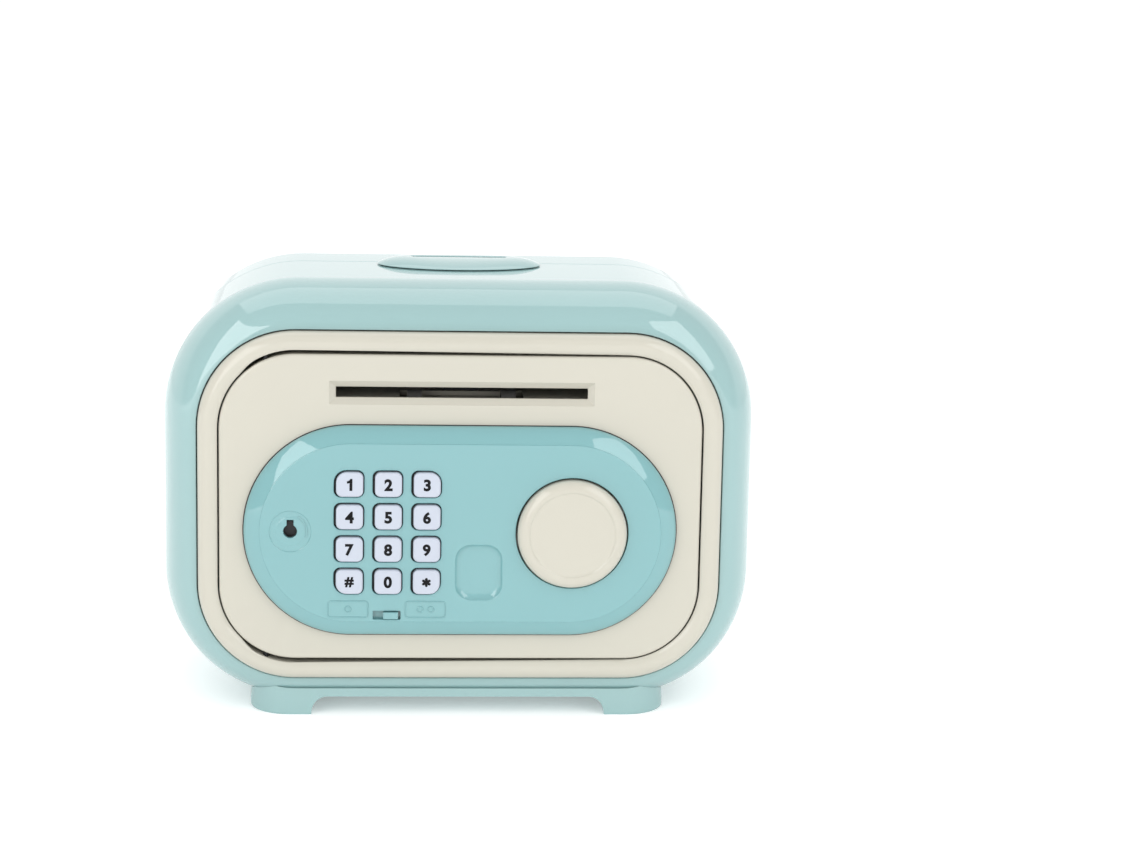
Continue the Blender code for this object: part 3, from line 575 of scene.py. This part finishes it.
def make_coin_plate():
    """The oval plate: a low dome that runs from the slot's round lip to a thin rim, and a collar below."""
    low, high = box_of("coin_plate")
    middle = (low.y + high.y) / 2
    seat = FULL[1] + GAP
    half_length, half_depth = (high.x - low.x) / 2, (high.y - low.y) / 2
    slot_depth = 1.75
    slot_straight = 17.0 - slot_depth
    steps = 128
    angles = [2 * math.pi * (step + 0.5) / steps for step in range(steps)]
    rim = [Vector((half_length * math.cos(a), half_depth * math.sin(a))) for a in angles]

    def slot(grow):
        points = []
        for point in rim:
            foot = Vector((min(max(point.x, -slot_straight), slot_straight), 0))
            points.append(foot + (point - foot).normalized() * (slot_depth + grow))
        return points

    def ring(points, z):
        return [(x, middle + y, z) for x, y in points]

    top = high.z
    dome = 2.5
    collar_foot = top - 8
    lip = slot(0.4)
    rings = [ring(slot(grow), z) for grow, z in ((0.0, collar_foot), (0.0, top - 0.45), (0.12, top - 0.12))]
    rings.append(ring(lip, top))
    for step in range(1, 25):
        share = 1 - (1 - step / 24) ** 1.8
        drop = dome * (1 - max(1 - share ** 2.4, 0) ** 0.9)
        rings.append(ring([a.lerp(b, share) for a, b in zip(lip, rim)], top - drop))
    rings += [ring(rim, seat + 0.1), ring([point * 0.996 for point in rim], seat)]
    rings += [ring(slot(1.5), seat), ring(slot(1.5), collar_foot)]
    loft(rings, closed=True).place("coin_plate_skin", "housing", BLUE, "blue", replaces=("coin_plate",))


# ---------------------------------------------------------------- door

DOOR = (81.7, 52.6, 25.6)
DOOR_FACE = -2.8
DOOR_SKIN = 2.2
SLOT_CENTRE = (0.0, 39.6)
SLOT_SIZE = (85.0, 3.6)


def door_outline(inset):
    return rounded(DOOR[0] - inset, DOOR[1] - inset, inset - DOOR[1], DOOR[2] - inset, 24)


def make_door():
    mould = Mould()
    edge = 0.9
    front = [at_y(door_outline(edge * (1 - along)), DOOR_FACE + edge * out) for out, along in quarter(6)]
    face = mould.rings(front)
    back = mould.rings([
        at_y(door_outline(0), 7.1), at_y(door_outline(0.4), 7.5), at_y(door_outline(1.6), 7.5),
        at_y(door_outline(2.0), 7.1), at_y(door_outline(2.0), DOOR_FACE + DOOR_SKIN),
    ])
    mould.wall(*face, *back)
    chamfer = [(2.35, 0.0), (2.175, 0.06), (2.1, 0.2), (0.15, 1.8), (0.0, 2.0), (0.0, DOOR_SKIN)]
    slot = mould.rings([
        at_y(block(SLOT_CENTRE, [side + 2 * grow for side in SLOT_SIZE], 0.25, 4), DOOR_FACE + depth)
        for grow, depth in chamfer
    ])
    mould.wall(*slot)
    mould.flat(face[0], slot[0])
    mould.flat(back[-1], slot[-1])
    mould.place("door_panel_skin", "door", CREAM, "cream", replaces=("door_panel",))


PANEL_CENTRE_Z = -7.4
PANEL_HALF = (73.3, 36.1)
PANEL_FACE = -8.8
PANEL_FOOT = -3.1
PANEL_INNER = -6.8


def panel_outline(inset):
    return rounded(
        PANEL_HALF[0] - inset, PANEL_CENTRE_Z + PANEL_HALF[1] - inset, PANEL_CENTRE_Z - PANEL_HALF[1] + inset,
        PANEL_HALF[1] - 0.02 - inset, 48,
    )


KEY_ROWS = (("1", "2", "3"), ("4", "5", "6"), ("7", "8", "9"), ("hash", "0", "star"))
KEY_SIGNS = {"hash": "#", "star": "*"}
KEY_RADIUS = 2.2
OUTER_KEY_RADIUS = 4.0
KEY_HOLE = (10.2, 9.25)
KEY_SIZE = (9.1, 8.4)
KEY_SKIRT = (11.2, 10.5)
KEY_SHIFT = (0.22, -0.08)
KEY_RISE = 1.3
SIGN_HEIGHT = 4.1
SIGN_HEIGHTS = {"hash": 3.6, "star": 3.2}
SIGN_STRETCH = 1.02
SIGN_PROUD = 0.06


def key_corners(name, radius, outer):
    """The radius of each corner from top right: the keypad's own four corners are rounder."""
    rounder = {"3": 0, "1": 1, "hash": 2, "star": 3}.get(name)
    return tuple(outer if index == rounder else radius for index in range(4))


def through_hole(mould, outline):
    """A hole through the control panel with a rounded front edge. Gives its front and back rings."""
    lip = 0.25
    rings = mould.rings(
        [at_y(outline(lip * (1 - along)), PANEL_FACE + lip * out) for out, along in quarter(3)]
        + [at_y(outline(0.0), PANEL_INNER)]
    )
    mould.wall(*rings)
    return rings[0], rings[-1]


LOCK = middle_of("lock_rotor")
KNOB = middle_of("knob_cap")
KNOB_FACE = -12.3
KNOB_HOLE_RADIUS = 19.1
SWITCH = (-24.9, -35.8)
SWITCH_SIZE = (9.3, 3.0)
DENT = (6.1, -20.8)
DENT_SIZE = (16.0, 19.3)


def keyhole(grow):
    radius, half_notch, notch_top = 2.3 + grow, 1.15 + grow, 3.9 + grow
    start = math.degrees(math.acos(half_notch / radius))
    x, z = LOCK
    points = [(x + half_notch, z + notch_top)]
    for step in range(33):
        angle = math.radians(start - (180 + 2 * start) * step / 32)
        points.append((x + radius * math.cos(angle), z + radius * math.sin(angle)))
    points.append((x - half_notch, z + notch_top))
    return points


def sunk(mould, outline, steps):
    """Rings of an outline at depths below the control panel's face, from (size, depth) pairs."""
    return mould.rings([at_y(outline(size), PANEL_FACE + depth) for size, depth in steps])


def make_control_panel():
    mould = Mould()
    outside = [(0.15, PANEL_FOOT), (0.0, PANEL_FOOT - 0.15), (0.0, PANEL_FOOT - 0.5)]
    bevel = [
        (0.0, -4.6), (0.25, -5.2), (0.8, -5.85), (1.6, -6.5), (2.6, -7.15), (3.6, -7.7), (4.6, -8.15),
        (5.2, -8.4), (5.4, -8.47), (5.5, -8.72), (5.72, PANEL_FACE),
    ]
    rings = mould.rings([at_y(panel_outline(inset), y) for inset, y in outside + bevel])
    mould.wall(*rings)
    inside = [(2.0, PANEL_FOOT), (2.4, PANEL_FOOT - 1.4), (5.9, PANEL_INNER)]
    inner = mould.rings([at_y(panel_outline(inset), y) for inset, y in inside])
    mould.wall(rings[0], *inner)
    fronts, backs = [], []
    for names in KEY_ROWS:
        for name in names:
            centre = middle_of(f"key_{name}")
            corners = key_corners(name, KEY_RADIUS + 0.1, OUTER_KEY_RADIUS + 0.2)
            front, back = through_hole(mould, lambda g, c=centre, r=corners: block(c, KEY_HOLE, r, 6, g))
            fronts.append(front)
            backs.append(back)
    for outline in (
        lambda g: circle(KNOB, KNOB_HOLE_RADIUS + g, 96),
        lambda g: block(SWITCH, SWITCH_SIZE, 0.3, 4, g),
    ):
        front, back = through_hole(mould, outline)
        fronts.append(front)
        backs.append(back)
    # The disc round the lock is sunk a little, with a raised lip at the keyhole.
    edge = ((7.2, 0.0), (7.1, 0.06), (7.02, 0.2), (6.92, 0.3), (6.8, 0.32))
    disc = sunk(mould, lambda r: circle(LOCK, r, 72), edge)
    mould.wall(*disc)
    crest = sunk(mould, lambda r: circle(LOCK, r, 72), ((5.0, 0.32), (4.85, 0.26), (4.7, 0.24)))
    mould.flat(disc[-1], crest[0])
    mould.wall(*crest)
    hole = sunk(mould, keyhole, ((0.3, 0.24), (0.1, 0.3), (0.0, 0.45), (0.0, 2.0)))
    mould.wall(*hole)
    mould.flat(crest[-1], hole[0])
    fronts.append(disc[0])
    backs.append(hole[-1])
    # The finger dent has soft edges and a flat floor.
    slope = ((0.2, 0.0), (0.05, 0.05), (-0.05, 0.2), (-0.5, 0.75), (-1.0, 1.15), (-1.6, 1.35), (-2.3, 1.4))
    dent = sunk(mould, lambda g: block(DENT, DENT_SIZE, 5.5, 10, g), slope)
    mould.wall(*dent)
    mould.flat(dent[-1])
    fronts.append(dent[0])
    mould.flat(rings[-1], *fronts)
    mould.flat(inner[-1], *backs)
    mould.place("control_panel_skin", "door", PANEL, "panel_blue", replaces=("control_panel",))
    # A black ring round the panel's foot, shifted down so it shows more along the bottom, is painted shade:
    # it draws the dark shadow line in the gap between the control panel and the door.
    painted_shadow_ring = ((-0.45, DOOR_FACE), (-0.45, -2.98), (-0.35, -3.05), (1.5, -3.05), (1.5, DOOR_FACE))
    rings = [[(x, y, z - 0.2) for x, z in panel_outline(inset)] for inset, y in painted_shadow_ring]
    loft(rings, closed=True).place("panel_painted_shadow_ring", "door", BLACK_AND_SHADE, "black")


def ridge(name, path, width, height, closed):
    """A low raised line on the control panel's face, along (x, z) points."""
    mould = Mould()
    count = len(path)
    sections = []
    for index, (x, z) in enumerate(path):
        before = path[index - 1] if index or closed else path[index]
        after = path[(index + 1) % count] if index < count - 1 or closed else path[index]
        along = Vector((after[0] - before[0], after[1] - before[1])).normalized()
        across = Vector((-along.y, along.x))
        ring = []
        for step in range(7):
            angle = math.pi * step / 6
            shift = across * (width / 2 * math.cos(angle))
            ring.append((x + shift.x, PANEL_FACE + 0.1 - (height + 0.1) * math.sin(angle), z + shift.y))
        sections.append(mould.ring(ring))
    mould.wall(*sections)
    if closed:
        mould.wall(sections[-1], sections[0])
    else:
        mould.cap(sections[0])
        mould.cap(sections[-1])
    return mould.place(name, "door", PANEL, "panel_blue", 60, weighted=False)


def make_panel_marks():
    """Raised frames for the two language labels with plain dots in place of words, and the lock's arrow."""
    height = 0.3
    label_z = -33.7
    for name, x, dots in (("left", -38.0, 1), ("right", -11.8, 2)):
        ridge(f"label_{name}_frame", block((x, label_z), (13.5, 5.6), 1.0, 6), 0.4, height, True)
        for dot in range(dots):
            middle = x + (dot - (dots - 1) / 2) * 3.6
            ridge(f"label_{name}_dot_{dot + 1}", circle((middle, label_z), 1.0, 24), 0.45, height, True)
    turn = [math.radians(62 - 82 * step / 20) for step in range(21)]
    arc = [(LOCK[0] + 5.6 * math.cos(a), LOCK[1] + 5.6 * math.sin(a)) for a in turn]
    ridge("lock_arrow_arc", arc, 0.5, 0.0, False)


def make_keys():
    """Each key's cap, a little right of its hole's middle, on a black skirt that keeps it in."""
    for names in KEY_ROWS:
        for name in names:
            x, z = middle_of(f"key_{name}")
            centre = (x + KEY_SHIFT[0], z + KEY_SHIFT[1])
            corners = key_corners(name, KEY_RADIUS - 0.2, OUTER_KEY_RADIUS - 0.4)
            edge = 0.6
            front = PANEL_FACE - KEY_RISE
            rings = [
                at_y(block(centre, KEY_SIZE, corners, 8, -edge * (1 - along)), front + edge * out)
                for out, along in quarter(6)
            ]
            rings.append(at_y(block(centre, KEY_SIZE, corners, 8), -6.3))
            loft(rings).place(f"key_{name}_cap", f"key_{name}", KEY, "key", replaces=(f"key_{name}",))
            skirt = loft([at_y(block((x, z), KEY_SKIRT, corners, 8), y) for y in (-6.4, -5.5)])
            skirt.place(f"key_{name}_skirt", f"key_{name}", BLACK_AND_SHADE, "black")
            make_sign(name, centre, front)


def printed(name):
    """The flat shape of a digit or sign, as a mesh of any size about any point."""
    if name == "1":
        stem = [(0.9, -2.05), (0.9, 2.05), (0.2, 2.05), (0.0, 1.65), (-0.35, 1.35), (-0.9, 1.2)]
        stem += [(-0.9, 0.45), (-0.4, 0.5), (-0.05, 0.65), (-0.05, -2.05)]
        shape = loft([at_z(stem, z) for z in (0.0, 0.1)])
        mesh = bpy.data.meshes.new("one")
        bmesh.ops.recalc_face_normals(shape.bm, faces=shape.bm.faces)
        shape.bm.to_mesh(mesh)
        shape.bm.free()
        return mesh
    text = bpy.data.curves.new(f"sign_{name}", "FONT")
    text.body = KEY_SIGNS.get(name, name)
    text.size = 1.0
    text.offset = 0.015
    text.bevel_depth = 0.03
    text.extrude = 0.008
    text.resolution_u = 6
    source = bpy.data.objects.new("sign", text)
    bpy.context.scene.collection.objects.link(source)
    bpy.context.view_layer.update()
    mesh = bpy.data.meshes.new_from_object(source)
    bpy.data.objects.remove(source)
    return mesh


def make_sign(name, centre, front):
    """The digit or sign printed on a key, a hair proud of it."""
    mesh = printed(name)
    corners = [v.co.copy() for v in mesh.vertices]
    low = Vector(min(c[i] for c in corners) for i in range(3))
    high = Vector(max(c[i] for c in corners) for i in range(3))
    scale = SIGN_HEIGHTS.get(name, SIGN_HEIGHT) / (high.y - low.y)
    proud = SIGN_PROUD / (high.z - low.z)
    middle = (low + high) / 2
    for vertex in mesh.vertices:
        x, y, z = vertex.co - middle
        across = centre[0] + x * scale * SIGN_STRETCH
        vertex.co = FACE + Vector((across, front - 0.01 - z * proud, centre[1] + y * scale)) * MM
    return show(mesh, f"key_{name}_sign", f"key_{name}", INK, "black", 40, False)


def make_lock_plug():
    """The lock's dark face behind the keyhole."""
    turned([(2.9, -5.2), (2.9, -4.6)], LOCK, 48).place("lock_plug", "lock", BLACK_AND_SHADE, "black")


def make_slider():
    """The language switch's slider, on a flange that hides the switch behind it."""
    x, z = middle_of("language_slider")
    size, radius = (5.1, 2.4), 0.25
    edge = 0.3
    flange = -6.5
    rings = [
        at_y(block((x, z), size, radius, 4, -edge * (1 - along)), -9.7 + edge * out)
        for out, along in quarter(4)
    ]
    rings.append(at_y(block((x, z), size, radius, 4), flange))
    rings += [at_y(block((x - 0.9, z), (10.4, 3.4), radius, 4), y) for y in (flange, -5.7)]
    slider = loft(rings)
    slider.place("language_slider_cap", "language_slider", PANEL, "panel_blue", replaces=("language_slider",))


def make_knob():
    """The knob: a flat disc in a shallow groove, a round rim and a hollow back round its stem."""
    face = KNOB_FACE
    profile = [(13.9, face + 0.35), (14.35, face + 0.33), (14.5, face + 0.25)]
    profile += [(14.62, face + 0.12), (14.85, face + 0.04)]
    for step in range(15):
        angle = math.radians(90 * step / 14)
        profile.append((15.3 + 3.25 * math.sin(angle), face + 2.6 - 2.6 * math.cos(angle)))
    profile += [(18.55, -6.0), (18.3, -5.8), (16.8, -5.8), (16.8, face + 2.4), (5.5, face + 2.4), (5.5, -4.5)]
    profile += [(3.3, -4.5), (3.3, face + 2.6)]
    turned(profile, KNOB, 120).place("knob_cap_skin", "knob", CREAM, "cream", replaces=("knob_cap",))


# ---------------------------------------------------------------- stage, light and camera


def make_stage():
    floor_mesh = bpy.data.meshes.new("floor")
    size = 30.0
    corners = [(-size, -size, 0), (size, -size, 0), (size, size, 0), (-size, size, 0)]
    floor_mesh.from_pydata(corners, [], [(0, 1, 2, 3)])
    floor = bpy.data.objects.new("floor", floor_mesh)
    surface = Surface("studio_floor", 0.9)
    surface.colour(surface.between(surface.noise(3.0), 0, 1), (0.90, 0.90, 0.90), (0.92, 0.92, 0.92))
    surface.shader.inputs["Specular IOR Level"].default_value = 0.0
    surface.shader.inputs["Emission Color"].default_value = (1, 1, 1, 1)
    surface.shader.inputs["Emission Strength"].default_value = 0.25
    floor_mesh.materials.append(surface.material)
    bpy.context.scene.collection.objects.link(floor)


def make_world():
    """An even studio that is brighter behind the bank, up to about 40 degrees above the floor."""
    world = bpy.data.worlds.new("studio")
    world.use_nodes = True
    tree = world.node_tree
    background = tree.nodes["Background"]
    background.inputs["Strength"].default_value = 1.0
    place = tree.nodes.new("ShaderNodeTexCoord")
    lean = tree.nodes.new("ShaderNodeVectorMath")
    lean.operation = "DOT_PRODUCT"
    lean.inputs[1].default_value = (0.0, 0.9, -1.0)
    ramp = tree.nodes.new("ShaderNodeMapRange")
    ramp.interpolation_type = "SMOOTHSTEP"
    for name, value in (("From Min", -0.12), ("From Max", 0.05), ("To Min", STUDIO), ("To Max", BACKDROP)):
        ramp.inputs[name].default_value = value
    tree.links.new(place.outputs["Generated"], lean.inputs[0])
    tree.links.new(lean.outputs["Value"], ramp.inputs["Value"])
    tree.links.new(ramp.outputs["Result"], background.inputs["Color"])
    bpy.context.scene.world = world


def softbox(name, directions, radiance):
    """A flat lamp whose corners lie in the given directions from the middle of the face."""
    first, second, third = (Vector(direction).normalized() for direction in directions[:3])
    across = (second - first).cross(third - first)
    corners = []
    for direction in directions:
        ray = Vector(direction).normalized()
        corners.append(FACE + ray * (LAMP_DISTANCE * across.dot(first) / across.dot(ray)))
    mesh = bpy.data.meshes.new(name)
    mesh.from_pydata(corners, [], [tuple(range(len(corners)))])
    surface = Surface(name)
    surface.shader.inputs["Base Color"].default_value = (0, 0, 0, 1)
    surface.shader.inputs["Emission Color"].default_value = (1, 1, 1, 1)
    surface.shader.inputs["Emission Strength"].default_value = radiance
    mesh.materials.append(surface.material)
    lamp = bpy.data.objects.new(name, mesh)
    bpy.context.scene.collection.objects.link(lamp)


def make_lights():
    make_world()
    left = (
        (-0.54, -0.84, 0.0), (-0.72, -0.40, 0.56), (-0.59, -0.05, 0.81),
        (-0.18, -0.93, 0.32), (-0.2, -0.98, 0.0),
    )
    right = (
        (0.30, -0.95, -0.02), (0.72, -0.64, 0.28), (0.56, -0.04, 0.83),
        (0.27, -0.63, 0.73), (0.23, -0.92, 0.31),
    )
    above = ((-0.5, 0.02, 0.86), (0.5, 0.02, 0.86), (0.5, 0.7, 0.7), (-0.5, 0.7, 0.7))
    softbox("left_softbox", left, 3.4)
    softbox("right_softbox", right, 2.9)
    softbox("overhead_softbox", above, 1.7)


LENS = 82.1
CAMERA_PLACE = (-24, -866, 187)
CAMERA_TURN = (-4.01, 10.39, 1.18)


def make_camera():
    """A long lens in front of the bank, a little above it and turned slightly to the right."""
    data = bpy.data.cameras.new("camera")
    data.sensor_width = 36.0
    data.lens = LENS
    yaw, pitch, roll = (math.radians(degrees) for degrees in CAMERA_TURN)
    right = Vector((math.cos(yaw), math.sin(yaw), 0))
    ahead = Vector((-math.sin(yaw), math.cos(yaw), 0))
    up = Vector((0, 0, 1))
    look = ahead * math.cos(pitch) - up * math.sin(pitch)
    above = up * math.cos(pitch) + ahead * math.sin(pitch)
    across = right * math.cos(roll) + above * math.sin(roll)
    upward = above * math.cos(roll) - right * math.sin(roll)
    camera = bpy.data.objects.new("camera", data)
    place = FACE + Vector(CAMERA_PLACE) * MM
    camera.matrix_world = Matrix.Translation(place) @ Matrix((across, upward, -look)).transposed().to_4x4()
    bpy.context.scene.collection.objects.link(camera)
    bpy.context.scene.camera = camera


def main():
    bpy.context.scene.view_settings.view_transform = "Standard"
    dress_cad_nodes()
    make_front_shell()
    make_posts()
    make_rear_shell()
    make_frame()
    make_stand()
    make_coin_plate()
    make_door()
    make_control_panel()
    make_panel_marks()
    make_keys()
    make_lock_plug()
    make_slider()
    make_knob()
    make_stage()
    make_lights()
    make_camera()


main()
